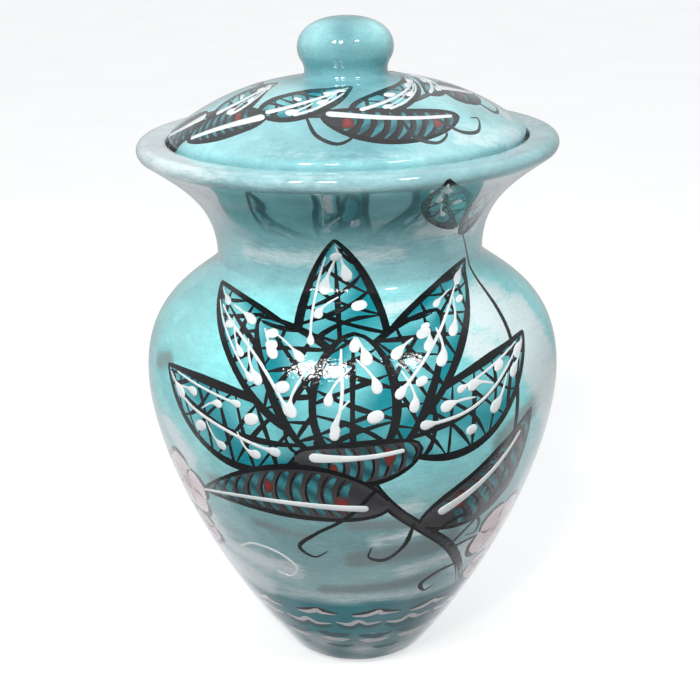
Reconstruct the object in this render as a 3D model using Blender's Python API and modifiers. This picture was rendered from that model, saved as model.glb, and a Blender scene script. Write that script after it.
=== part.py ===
"""Glazed ceramic funeral urn: a hollow turned jar with a flared rim, and a domed lid with a knob.

The lid rests on a ledge inside the rim and lifts off. Both pieces are turned about the Z axis.
The origin is on that axis, on the surface that the urn stands on.
"""

import math

import bpy
import numpy as np

# Sizes in metres. Heights are measured from the surface that the urn stands on.
SEGMENTS = 48
JAR_WALL = 0.0055

FOOT_RADIUS = 0.0256
FOOT_ROUNDING = 0.0130
FOOT_RING_WIDTH = 0.0055
FOOT_RECESS = 0.0020
FLOOR_THICKNESS = 0.0065

TAPER_SLOPE = math.radians(55.2)
TAPER_PULL = 0.0720
BELLY_RADIUS = 0.0924
BELLY_HEIGHT = 0.1404
BELLY_PULL_BELOW = 0.0251
BELLY_PULL_ABOVE = 0.0284

NECK_ROOT_RADIUS = 0.0639
NECK_ROOT_HEIGHT = 0.1872
SHOULDER_SLOPE = math.radians(35.0)
SHOULDER_PULL = 0.0169
NECK_RADIUS = 0.0581
NECK_HEIGHT = 0.1938
NECK_ROOT_PULL = 0.0020
NECK_PULL = 0.0199

RIM_RADIUS = 0.0900
RIM_HEIGHT = 0.2451
LIP_ROUNDING = 0.0036
LIP_UNDERCUT = math.radians(42.0)
FLARE_SLOPE = math.radians(34.0)
FLARE_PULL = 0.0261
RIM_BAND_WIDTH = 0.0127
RIM_BAND_DROP = 0.0002
INNER_EDGE_ROUNDING = 0.0012

SEAT_DEPTH = 0.0046
SEAT_WIDTH = 0.0060
SEAT_GAP = 0.0003

LID_CLEARANCE = 0.0014
LID_WALL = 0.0055
LID_SKIRT_HEIGHT = 0.0049
LID_EDGE_ROUNDING = 0.0026
LID_EDGE_SLOPE = math.radians(36.0)
LID_EDGE_PULL = 0.0260
LID_CROWN_SLOPE = math.radians(10.0)
LID_CROWN_PULL = 0.0120

KNOB_NECK_RADIUS = 0.0176
KNOB_NECK_RISE = 0.0308
KNOB_FILLET_WIDTH = 0.0079
KNOB_FILLET_DROP = 0.0037
KNOB_RADIUS = 0.0204
KNOB_HALF_HEIGHT_BELOW = 0.0093
KNOB_HALF_HEIGHT_ABOVE = 0.0127

# What follows from the sizes above.
SEAT_RADIUS = RIM_RADIUS - RIM_BAND_WIDTH
SEAT_HEIGHT = RIM_HEIGHT - SEAT_DEPTH
LID_RADIUS = SEAT_RADIUS - LID_CLEARANCE
LID_BOTTOM = SEAT_HEIGHT + SEAT_GAP

# Colour and gloss of the glaze.
JAR_GLAZE = (0.33, 0.62, 0.65, 1.0)
LID_GLAZE = (0.40, 0.73, 0.75, 1.0)
GLAZE_ROUGHNESS = 0.10


def point(radius, height):
    return np.array([radius, height])


def heading(angle):
    """The unit vector at this angle above straight outwards."""
    return np.array([math.cos(angle), math.sin(angle)])


UP = heading(math.pi / 2)


def bezier(start, start_handle, end_handle, end, spans):
    """Points along a cubic curve, without its start."""
    t = np.linspace(0.0, 1.0, spans + 1)[1:, None]
    s = 1.0 - t
    return s**3 * start + 3 * s**2 * t * start_handle + 3 * s * t**2 * end_handle + t**3 * end


def arc(centre, radius, first_angle, last_angle, spans):
    """Points along an arc, with both of its ends."""
    angles = np.linspace(first_angle, last_angle, spans + 1)
    return centre + radius * np.stack([np.cos(angles), np.sin(angles)], axis=1)


def offset(outline, distance):
    """The outline moved sideways, to the left of the way it runs."""
    along = np.gradient(outline, axis=0)
    along /= np.linalg.norm(along, axis=1)[:, None]
    return outline + distance * np.stack([-along[:, 1], along[:, 0]], axis=1)


def jar_outside():
    """The jar's outer side, from the edge of the foot up to where the lip's rounding starts."""
    foot = arc(
        point(FOOT_RADIUS, FOOT_ROUNDING),
        FOOT_ROUNDING,
        -math.pi / 2,
        TAPER_SLOPE - math.pi / 2,
        5,
    )
    belly = point(BELLY_RADIUS, BELLY_HEIGHT)
    taper = bezier(
        foot[-1],
        foot[-1] + TAPER_PULL * heading(TAPER_SLOPE),
        belly - BELLY_PULL_BELOW * UP,
        belly,
        10,
    )
    neck_root = point(NECK_ROOT_RADIUS, NECK_ROOT_HEIGHT)
    inwards = heading(math.pi - SHOULDER_SLOPE)
    shoulder = bezier(
        belly,
        belly + BELLY_PULL_ABOVE * UP,
        neck_root - SHOULDER_PULL * inwards,
        neck_root,
        8,
    )
    neck = point(NECK_RADIUS, NECK_HEIGHT)
    fillet = bezier(
        neck_root,
        neck_root + NECK_ROOT_PULL * inwards,
        neck - NECK_ROOT_PULL * UP,
        neck,
        3,
    )
    lip_centre = point(RIM_RADIUS - LIP_ROUNDING, RIM_HEIGHT - LIP_ROUNDING)
    lip_start = lip_centre + LIP_ROUNDING * heading(LIP_UNDERCUT - math.pi / 2)
    flare = bezier(
        neck,
        neck + NECK_PULL * UP,
        lip_start - FLARE_PULL * heading(FLARE_SLOPE),
        lip_start,
        8,
    )
    return np.concatenate([foot, taper, shoulder, fillet, flare])


def jar_rim():
    """From the lip's rounding over the rim's band and down to the inner edge of the lid's ledge."""
    lip_centre = point(RIM_RADIUS - LIP_ROUNDING, RIM_HEIGHT - LIP_ROUNDING)
    lip = arc(lip_centre, LIP_ROUNDING, LIP_UNDERCUT - math.pi / 2, math.pi / 2, 7)[1:]
    edge_centre = point(
        SEAT_RADIUS + INNER_EDGE_ROUNDING, RIM_HEIGHT - RIM_BAND_DROP - INNER_EDGE_ROUNDING
    )
    inner_edge = arc(edge_centre, INNER_EDGE_ROUNDING, math.pi / 2, math.pi, 2)
    seat = [point(SEAT_RADIUS, SEAT_HEIGHT), point(SEAT_RADIUS - SEAT_WIDTH, SEAT_HEIGHT)]
    return np.concatenate([lip, inner_edge, seat])


def jar_inside(outside):
    """The jar's inner side, one wall in from the outer side, from the inner floor up to the ledge."""
    floor_height = FOOT_RECESS + FLOOR_THICKNESS
    inside = offset(outside, JAR_WALL)
    radius, height = inside.T
    clear_of_seat = (height < NECK_HEIGHT) | (radius < SEAT_RADIUS - SEAT_WIDTH)
    side = inside[(height > floor_height + JAR_WALL) & (height < SEAT_HEIGHT - JAR_WALL) & clear_of_seat]
    floor_radius = np.interp(floor_height, height, radius)
    floor = [point(0.0, floor_height), point(floor_radius, floor_height)]
    every_second_up_to_the_last = side[::-2][::-1]
    return np.concatenate([floor, every_second_up_to_the_last])


def jar_outline():
    """Half of the jar's section, from the middle of the inner floor round to the middle of the foot."""
    outside = jar_outside()
    ring_inside = FOOT_RADIUS - FOOT_RING_WIDTH
    under = [
        point(ring_inside, 0.0),
        point(ring_inside - FOOT_RECESS, FOOT_RECESS),
        point(0.0, FOOT_RECESS),
    ]
    inside = jar_inside(outside)
    return np.concatenate([inside, jar_rim()[::-1], outside[::-1], under])


def lid_outline():
    """Half of the lid's section, from the top of the knob down its outer side and back underneath."""
    neck = point(KNOB_NECK_RADIUS, LID_BOTTOM + KNOB_NECK_RISE)
    middle = point(KNOB_RADIUS, neck[1] + KNOB_HALF_HEIGHT_BELOW)
    crown = point(0.0, middle[1] + KNOB_HALF_HEIGHT_ABOVE)
    knob_top = bezier(
        crown,
        crown + point(0.72 * KNOB_RADIUS, 0.0),
        middle + 0.50 * KNOB_HALF_HEIGHT_ABOVE * UP,
        middle,
        7,
    )
    knob_side = bezier(
        middle,
        middle - 0.52 * KNOB_HALF_HEIGHT_BELOW * UP,
        neck + 0.45 * KNOB_HALF_HEIGHT_BELOW * UP,
        neck,
        4,
    )
    dome_start = neck + point(KNOB_FILLET_WIDTH, -KNOB_FILLET_DROP)
    fillet = bezier(
        neck,
        neck - 0.8 * KNOB_FILLET_DROP * UP,
        dome_start + 0.6 * KNOB_FILLET_WIDTH * heading(math.pi - LID_CROWN_SLOPE),
        dome_start,
        3,
    )
    edge_centre = point(LID_RADIUS - LID_EDGE_ROUNDING, LID_BOTTOM + LID_SKIRT_HEIGHT)
    edge = arc(edge_centre, LID_EDGE_ROUNDING, math.pi / 2 - LID_EDGE_SLOPE, 0.0, 4)
    dome = bezier(
        dome_start,
        dome_start + LID_CROWN_PULL * heading(-LID_CROWN_SLOPE),
        edge[0] + LID_EDGE_PULL * heading(math.pi - LID_EDGE_SLOPE),
        edge[0],
        7,
    )
    foot_inside = LID_RADIUS - LID_WALL
    foot = [point(LID_RADIUS, LID_BOTTOM), point(foot_inside, LID_BOTTOM)]
    underside = offset(dome[::-1], LID_WALL)
    underside = underside[underside[:, 0] < foot_inside - LID_EDGE_ROUNDING]
    apex = point(0.0, underside[-1][1])
    return np.concatenate([[crown], knob_top, knob_side, fillet, dome[:-1], edge, foot, underside, [apex]])


def glaze(name, colour):
    material = bpy.data.materials.new(name)
    material.use_nodes = True
    shader = material.node_tree.nodes["Principled BSDF"]
    shader.inputs["Base Color"].default_value = colour
    shader.inputs["Roughness"].default_value = GLAZE_ROUGHNESS
    shader.inputs["Metallic"].default_value = 0.0
    return material


def turned(name, outline, material, collection):
    """A solid of revolution about Z from half of its section, with its corners marked sharp."""
    mesh = bpy.data.meshes.new(name + "_outline")
    edges = [(i, i + 1) for i in range(len(outline) - 1)]
    mesh.from_pydata([(radius, 0.0, height) for radius, height in outline], edges, [])
    profile = bpy.data.objects.new(name + "_outline", mesh)
    collection.objects.link(profile)
    screw = profile.modifiers.new("turn", "SCREW")
    screw.axis = "Z"
    screw.steps = SEGMENTS
    screw.render_steps = SEGMENTS
    screw.use_merge_vertices = True
    screw.merge_threshold = 0.00001
    bpy.context.view_layer.update()
    turned_profile = profile.evaluated_get(bpy.context.evaluated_depsgraph_get())
    solid = bpy.data.meshes.new_from_object(turned_profile)
    bpy.data.objects.remove(profile)
    bpy.data.meshes.remove(mesh)
    solid.name = name
    solid.shade_smooth()
    solid.set_sharp_from_angle(angle=math.radians(40.0))
    solid.materials.append(material)
    obj = bpy.data.objects.new(name, solid)
    collection.objects.link(obj)
    return obj


def main():
    for obj in list(bpy.data.objects):
        bpy.data.objects.remove(obj)
    collection = bpy.data.collections.new("funeral_urn")
    bpy.context.scene.collection.children.link(collection)
    turned("urn_body", jar_outline(), glaze("jar_glaze", JAR_GLAZE), collection)
    turned("urn_lid", lid_outline(), glaze("lid_glaze", LID_GLAZE), collection)


main()
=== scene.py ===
"""Looks of the funeral urn: painted glaze, raised slip, studio light and camera.

Lengths are in millimetres until a mesh is written, which is in metres.
A painted surface is cut along the edge of each brush mark, and its colours are kept on its corners.
"""

import math

import bmesh
import bpy
import numpy as np
from mathutils import Matrix, Vector
from mathutils.geometry import delaunay_2d_cdt


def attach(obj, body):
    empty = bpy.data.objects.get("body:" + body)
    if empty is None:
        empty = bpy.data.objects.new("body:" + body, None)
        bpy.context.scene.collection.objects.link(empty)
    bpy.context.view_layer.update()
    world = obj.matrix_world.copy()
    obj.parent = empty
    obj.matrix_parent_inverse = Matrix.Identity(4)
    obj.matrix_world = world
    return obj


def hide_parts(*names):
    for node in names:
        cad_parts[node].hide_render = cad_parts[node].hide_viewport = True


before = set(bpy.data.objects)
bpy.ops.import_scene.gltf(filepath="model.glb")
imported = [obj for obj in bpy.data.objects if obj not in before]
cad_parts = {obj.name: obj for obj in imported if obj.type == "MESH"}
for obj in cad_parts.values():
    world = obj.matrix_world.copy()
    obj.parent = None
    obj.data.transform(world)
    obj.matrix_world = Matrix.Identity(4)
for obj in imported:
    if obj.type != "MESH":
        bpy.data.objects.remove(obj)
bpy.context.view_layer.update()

rng = np.random.default_rng(20)

AROUND = 180
UNROLL_RADIUS = 80.0
SEAM = math.radians(162.0)
FRONT = -math.pi / 2
BACK = math.pi / 2

# Sizes of the two turned pieces, as in the solids.
JAR_WALL = 5.5
FOOT_RADIUS = 25.6
FOOT_ROUNDING = 13.0
FOOT_RING_WIDTH = 5.5
FOOT_RECESS = 2.0
FLOOR_TOP = 8.5
TAPER_SLOPE = 55.2
TAPER_PULL = 72.0
# A quarter of a millimetre slimmer than the solids, so that the slip on it stays within them.
BELLY = (92.15, 140.4)
BELLY_PULL_BELOW = 25.1
BELLY_PULL_ABOVE = 28.4
NECK_ROOT = (63.9, 187.2)
NECK_ROOT_PULL = 2.0
SHOULDER_SLOPE = 35.0
SHOULDER_PULL = 16.9
NECK = (58.1, 193.8)
NECK_PULL = 19.9
RIM_RADIUS = 90.0
RIM_HEIGHT = 245.1
LIP_ROUNDING = 3.6
LIP_UNDERCUT = 42.0
FLARE_SLOPE = 34.0
FLARE_PULL = 26.1
RIM_BAND_DROP = 0.2
INNER_EDGE_ROUNDING = 1.2
SEAT_RADIUS = 77.3
SEAT_HEIGHT = 240.5
SEAT_WIDTH = 6.0
LID_RADIUS = 75.9
LID_BOTTOM = 240.8
LID_WALL = 5.5
LID_SKIRT_HEIGHT = 4.9
LID_EDGE_ROUNDING = 2.6
LID_EDGE_SLOPE = 36.0
LID_EDGE_PULL = 26.0
LID_CROWN_SLOPE = 10.0
LID_CROWN_PULL = 12.0
KNOB_NECK = (17.6, LID_BOTTOM + 30.8)
KNOB_FILLET = (7.9, -3.7)
KNOB_FILLET_PULLS = (2.96, 4.74)
KNOB_RADIUS = 20.4
KNOB_HALF_HEIGHTS = (9.3, 12.7)
KNOB_TOP_PULLS = (14.69, 6.35)
KNOB_SIDE_PULLS = (4.84, 4.19)


# Outlines of the two turned pieces.


def point(radius, height):
    return np.array([radius, height], dtype=float)


def heading(degrees):
    angle = math.radians(degrees)
    return np.array([math.cos(angle), math.sin(angle)])


UP = point(0.0, 1.0)


def columns(*values):
    return np.stack(values, axis=1)


def bezier(start, start_handle, end_handle, end, spans):
    t = np.linspace(0.0, 1.0, spans + 1)[1:, None]
    s = 1.0 - t
    return s**3 * start + 3 * s**2 * t * start_handle + 3 * s * t**2 * end_handle + t**3 * end


def arc(centre, radius, first, last, spans):
    angles = np.linspace(math.radians(first), math.radians(last), spans + 1)
    return centre + radius * columns(np.cos(angles), np.sin(angles))


def directions(path, *spacing):
    """The unit direction of a path at each of its points."""
    along = np.gradient(path, *spacing, axis=0)
    return along / np.maximum(np.linalg.norm(along, axis=1), 1e-9)[:, None]


def sideways(path):
    along = directions(path)
    return columns(-along[:, 1], along[:, 0])


def normals_of(path, outside, *spacing):
    """The unit normal of an outline at each of its points, to its right where outside is 1."""
    along = directions(path, *spacing)
    return outside * columns(along[:, 1], -along[:, 0])


def distances(path):
    """How far along a path each of its points is."""
    steps = np.linalg.norm(np.diff(path, axis=0), axis=1)
    return np.concatenate([[0.0], np.cumsum(steps)])


def jar_outside():
    """From the outer edge of the foot ring up the outer side to the top of the lip."""
    foot_centre = point(FOOT_RADIUS, FOOT_ROUNDING)
    foot = arc(foot_centre, FOOT_ROUNDING, -90.0, TAPER_SLOPE - 90.0, 40)
    belly = point(*BELLY)
    taper_handle = foot[-1] + TAPER_PULL * heading(TAPER_SLOPE)
    taper = bezier(foot[-1], taper_handle, belly - BELLY_PULL_BELOW * UP, belly, 300)
    root = point(*NECK_ROOT)
    inwards = heading(180.0 - SHOULDER_SLOPE)
    shoulder = bezier(belly, belly + BELLY_PULL_ABOVE * UP, root - SHOULDER_PULL * inwards, root, 160)
    neck = point(*NECK)
    fillet = bezier(root, root + NECK_ROOT_PULL * inwards, neck - NECK_ROOT_PULL * UP, neck, 30)
    lip_centre = point(RIM_RADIUS - LIP_ROUNDING, RIM_HEIGHT - LIP_ROUNDING)
    lip = arc(lip_centre, LIP_ROUNDING, LIP_UNDERCUT - 90.0, 90.0, 40)
    flare_handle = lip[0] - FLARE_PULL * heading(FLARE_SLOPE)
    flare = bezier(neck, neck + NECK_PULL * UP, flare_handle, lip[0], 160)
    return np.concatenate([foot, taper, shoulder, fillet, flare, lip[1:]])


def jar_rim(lip_top):
    """From the top of the lip over the rim's band and its inner edge down to the ledge."""
    drop = RIM_BAND_DROP + INNER_EDGE_ROUNDING
    centre = point(SEAT_RADIUS + INNER_EDGE_ROUNDING, RIM_HEIGHT - drop)
    inner_edge = arc(centre, INNER_EDGE_ROUNDING, 90.0, 180.0, 6)
    band = np.linspace(lip_top, inner_edge[0], 12)[1:-1]
    seat_wall = np.linspace(inner_edge[-1], point(SEAT_RADIUS, SEAT_HEIGHT), 4)[1:]
    return np.concatenate([band, inner_edge, seat_wall])


def jar_inside(outside):
    """From the outer edge of the ledge down inside to the middle of the floor."""
    ledge_end = SEAT_RADIUS - SEAT_WIDTH
    outside = outside[:-40]
    side = (outside + JAR_WALL * sideways(outside))[::-1]
    radius, height = side.T
    clear = (height < NECK[1]) | (radius < ledge_end)
    inner = (height > FLOOR_TOP + JAR_WALL) & (height < SEAT_HEIGHT - JAR_WALL)
    floor_radius = np.interp(FLOOR_TOP, height[::-1], radius[::-1])
    ledge = [point(SEAT_RADIUS, SEAT_HEIGHT), point(ledge_end, SEAT_HEIGHT)]
    floor = [point(share * floor_radius, FLOOR_TOP) for share in (1.0, 0.5, 0.0)]
    return np.concatenate([ledge, side[inner & clear][::8], floor])


def jar_underside():
    """From the middle of the recess to the outer edge of the foot ring."""
    inner = FOOT_RADIUS - FOOT_RING_WIDTH
    recess = [(0.0, FOOT_RECESS), (9.0, FOOT_RECESS), (inner - FOOT_RECESS, FOOT_RECESS)]
    return np.array(recess + [(inner, 0.0), (22.8, 0.0), (FOOT_RADIUS, 0.0)])


def lid_outside():
    """From the top of the knob down its outer side to the bottom of the lid's edge."""
    neck = point(*KNOB_NECK)
    middle = point(KNOB_RADIUS, neck[1] + KNOB_HALF_HEIGHTS[0])
    crown = point(0.0, middle[1] + KNOB_HALF_HEIGHTS[1])
    across, down = KNOB_TOP_PULLS
    knob_top = bezier(crown, crown + point(across, 0.0), middle + down * UP, middle, 80)
    below, above = KNOB_SIDE_PULLS
    knob_side = bezier(middle, middle - below * UP, neck + above * UP, neck, 40)
    dome_start = neck + point(*KNOB_FILLET)
    inwards = heading(180.0 - LID_CROWN_SLOPE)
    down, across = KNOB_FILLET_PULLS
    fillet = bezier(neck, neck - down * UP, dome_start + across * inwards, dome_start, 30)
    edge_centre = point(LID_RADIUS - LID_EDGE_ROUNDING, LID_BOTTOM + LID_SKIRT_HEIGHT)
    edge = arc(edge_centre, LID_EDGE_ROUNDING, 90.0 - LID_EDGE_SLOPE, 0.0, 20)
    edge_handle = edge[0] + LID_EDGE_PULL * heading(180.0 - LID_EDGE_SLOPE)
    dome = bezier(dome_start, dome_start - LID_CROWN_PULL * inwards, edge_handle, edge[0], 160)
    skirt = np.linspace(edge[-1], point(LID_RADIUS, LID_BOTTOM), 9)[1:]
    return np.concatenate([[crown], knob_top, knob_side, fillet, dome[:-1], edge, skirt])


def lid_underside(outside):
    """From the lid's outer edge over its foot ring and up under the dome to its middle."""
    foot_inside = LID_RADIUS - LID_WALL
    dome = outside[150:-29][::-1]
    under = dome + LID_WALL * sideways(dome)
    under = under[under[:, 0] < foot_inside - LID_EDGE_ROUNDING][::10]
    foot = [point(radius, LID_BOTTOM) for radius in (LID_RADIUS, foot_inside)]
    middle = [point(radius, under[-1][1]) for radius in (9.0, 0.0)]
    return np.concatenate([foot, under, middle])


class Turned:
    """A turned surface. A place on it is an angle about Z and a distance along its outline."""

    def __init__(self, outline, outside):
        self.run = distances(outline)
        self.length = self.run[-1]
        self.outline = outline
        self.normal = normals_of(outline, outside, self.run)

    def radius(self, run):
        return np.interp(run, self.run, self.outline[:, 0])

    def height(self, run):
        return np.interp(run, self.run, self.outline[:, 1])

    def place(self, angle, run, lift=0.0):
        """Points and normals at these angles and runs, lifted off the surface."""
        normal_r = np.interp(run, self.run, self.normal[:, 0])
        normal_z = np.interp(run, self.run, self.normal[:, 1])
        size = np.hypot(normal_r, normal_z)
        normal_r, normal_z = normal_r / size, normal_z / size
        radius = self.radius(run) + lift * normal_r
        height = self.height(run) + lift * normal_z
        cos, sin = np.cos(angle), np.sin(angle)
        points = columns(radius * cos, radius * sin, height)
        normals = columns(normal_r * cos, normal_r * sin, normal_z)
        return points, normals

    def rows(self, coarse, fine=0.5, turn_per_row=0.30):
        """Runs from end to end, closer together where the outline bends."""
        way = np.unwrap(np.arctan2(self.normal[:, 1], self.normal[:, 0]))
        turn = np.abs(np.gradient(way, self.run))
        wanted = np.clip(turn_per_row / np.maximum(turn, 1e-6), fine, coarse)
        count = np.concatenate([[0.0], np.cumsum(np.diff(self.run) / wanted[:-1])])
        n = max(2, int(round(count[-1])))
        return np.interp(np.linspace(0.0, count[-1], n + 1), count, self.run)


# Brush marks. A mark is a closed outline on the unrolled surface, with a colour and a relief.


def spline(points, step=1.3):
    """A smooth curve through the points, with a point about every step."""
    p = np.asarray(points, dtype=float)
    p = np.concatenate([[2 * p[0] - p[1]], p, [2 * p[-1] - p[-2]]])
    out = []
    for a, b, c, d in zip(p[:-3], p[1:-2], p[2:-1], p[3:]):
        n = max(2, int(math.ceil(np.linalg.norm(c - b) / step)))
        t = (np.arange(n) / n)[:, None]
        low = 2 * b + (c - a) * t + (2 * a - 5 * b + 4 * c - d) * t**2
        out.append(0.5 * (low + (3 * b - a - 3 * c + d) * t**3))
    out.append(p[-2][None])
    return np.concatenate(out)


def brush(path, width, start=0.35, end=0.25, wobble=0.12):
    """The outline of a brush line: thinner at its ends, with an uneven width."""
    t = np.linspace(0.0, 1.0, len(path))
    rising = np.minimum(1.0, start + (1 - start) * t / 0.22)
    falling = np.minimum(1.0, end + (1 - end) * (1 - t) / 0.30)
    wave = t * rng.uniform(1.0, 2.5) + rng.uniform()
    uneven = 1.0 + wobble * np.sin(2 * math.pi * wave)
    half = 0.5 * width * (rising * falling) * uneven
    side = sideways(path)
    along = path[-1] - path[-2]
    back = path[0] - path[1]
    left = path + half[:, None] * side
    right = path - half[:, None] * side
    tip = path[-1] + 0.8 * half[-1] * (along / np.linalg.norm(along))
    tail = path[0] + 0.8 * half[0] * (back / np.linalg.norm(back))
    return np.concatenate([left, [tip], right[::-1], [tail]])


def srgb(red, green, blue):
    c = np.array([red, green, blue]) / 255.0
    return np.where(c <= 0.04045, c / 12.92, ((c + 0.055) / 1.055) ** 2.4)


def smooth(edge0, edge1, x):
    t = np.clip((x - edge0) / (edge1 - edge0), 0.0, 1.0)
    return t * t * (3 - 2 * t)


def plain(colour):
    return lambda p: np.broadcast_to(colour, (len(p), 3))


class Painting:
    """The marks on one turned surface, first to last from the bottom up, on a flat plane."""

    def __init__(self, surface, polar, ground):
        self.surface = surface
        self.polar = polar
        self.ground = ground
        self.marks = []
        self.trails = []

    def flatten(self, angle, run):
        if self.polar:
            return columns(run * np.cos(angle), run * np.sin(angle))
        return columns(np.mod(angle - SEAM, 2 * math.pi) * UNROLL_RADIUS, run)

    def unflatten(self, plane):
        if self.polar:
            return np.arctan2(plane[:, 1], plane[:, 0]), np.hypot(plane[:, 0], plane[:, 1])
        return plane[:, 0] / UNROLL_RADIUS + SEAM, plane[:, 1]


class Region:
    """One side of a painting. A place there is millimetres to the right of its middle, and the run."""

    def __init__(self, painting, centre):
        self.painting = painting
        self.centre = centre

    def angle(self, design):
        radius = np.maximum(self.painting.surface.radius(design[:, 1]), 1.0)
        return self.centre + design[:, 0] / radius

    def locate(self, plane):
        angle, run = self.painting.unflatten(plane)
        turn = np.mod(angle - self.centre + math.pi, 2 * math.pi) - math.pi
        return columns(turn * self.painting.surface.radius(run), run)

    def mark(self, outline, colour, relief=0.6):
        outline = np.asarray(outline, dtype=float)
        flat = self.painting.flatten(self.angle(outline), outline[:, 1])
        shade = (lambda p: colour(self.locate(p))) if callable(colour) else plain(colour)
        self.painting.marks.append((flat, shade, relief))

    def line(self, points, width, colour, start=0.35, end=0.25, relief=0.6):
        self.mark(brush(spline(points), width, start, end), colour, relief)

    def trail(self, points, first, last, middle=None):
        """A raised line of slip, with its half width at its two ends and in the middle."""
        path = spline(points, 0.7)
        t = np.linspace(0.0, 1.0, len(path))
        middle = 0.5 * (first + last) if middle is None else middle
        half = np.interp(t, [0.0, 0.5, 1.0], [first, middle, last])
        self.painting.trails.append((self, path, half))

    def drop(self, points, head, tail):
        """A round drop of slip that was drawn out into a thin tail."""
        path = spline(points, 0.6)
        away = distances(path)
        half = tail + (head - tail) * (1.0 - smooth(0.2 * head, 2.4 * head, away))
        half = half * (1.0 - 0.35 * smooth(0.7, 1.0, away / away[-1]))
        self.painting.trails.append((self, path, half))

    def dot(self, x, s, half):
        self.trail([(x - 0.3 * half, s), (x + 0.3 * half, s + 0.2 * half)], half, half)


def winding_inside(points, outline):
    x, y = points[:, 0][:, None], points[:, 1][:, None]
    x0, y0 = outline.T
    x1, y1 = np.roll(outline, -1, axis=0).T
    left = (x1 - x0) * (y - y0) - (x - x0) * (y1 - y0)
    up = ((y0 <= y) & (y1 > y) & (left > 0)).sum(axis=1)
    down = ((y0 > y) & (y1 <= y) & (left < 0)).sum(axis=1)
    return up != down


CUT_TOLERANCE = 0.004


def cut_along_marks(painting, grid, borders):
    """Triangles of the plane, cut along each mark's outline, and the mark that shows on each."""
    verts = [tuple(p) for p in grid]
    edges = list(borders)
    for outline, _, _ in painting.marks:
        first = len(verts)
        n = len(outline)
        verts.extend(tuple(p) for p in outline)
        edges.extend((first + i, first + (i + 1) % n) for i in range(n))
    out = delaunay_2d_cdt([Vector(v) for v in verts], edges, [], 0, CUT_TOLERANCE)
    points = np.array([tuple(v) for v in out[0]])
    faces = np.array([f for f in out[2] if len(f) == 3])
    middle = points[faces].mean(axis=1)
    shown = np.full(len(faces), -1)
    for k, (outline, _, _) in enumerate(painting.marks):
        lo, hi = outline.min(axis=0), outline.max(axis=0)
        near = np.nonzero(((middle >= lo) & (middle <= hi)).all(axis=1))[0]
        if len(near):
            shown[near[winding_inside(middle[near], outline)]] = k
    return points, faces, shown


def corner_colours(painting, corners, mark):
    """Colour, relief and soft washes at each corner of the triangles."""
    colour = np.zeros((len(corners), 3))
    wash = np.zeros((len(corners), 3))
    relief = np.zeros(len(corners))
    bare = mark < 0
    if bare.any():
        colour[bare], wash[bare] = painting.ground(*painting.unflatten(corners[bare]))
    order = np.argsort(mark, kind="stable")
    ids, starts = np.unique(mark[order], return_index=True)
    for k, a, b in zip(ids, starts, np.append(starts[1:], len(order))):
        if k >= 0:
            where = order[a:b]
            _, shade, height = painting.marks[k]
            colour[where] = shade(corners[where])
            relief[where] = height
    return colour, wash, relief


def new_object(name, data):
    obj = bpy.data.objects.new(name, data)
    bpy.context.scene.collection.objects.link(obj)
    return obj


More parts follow.
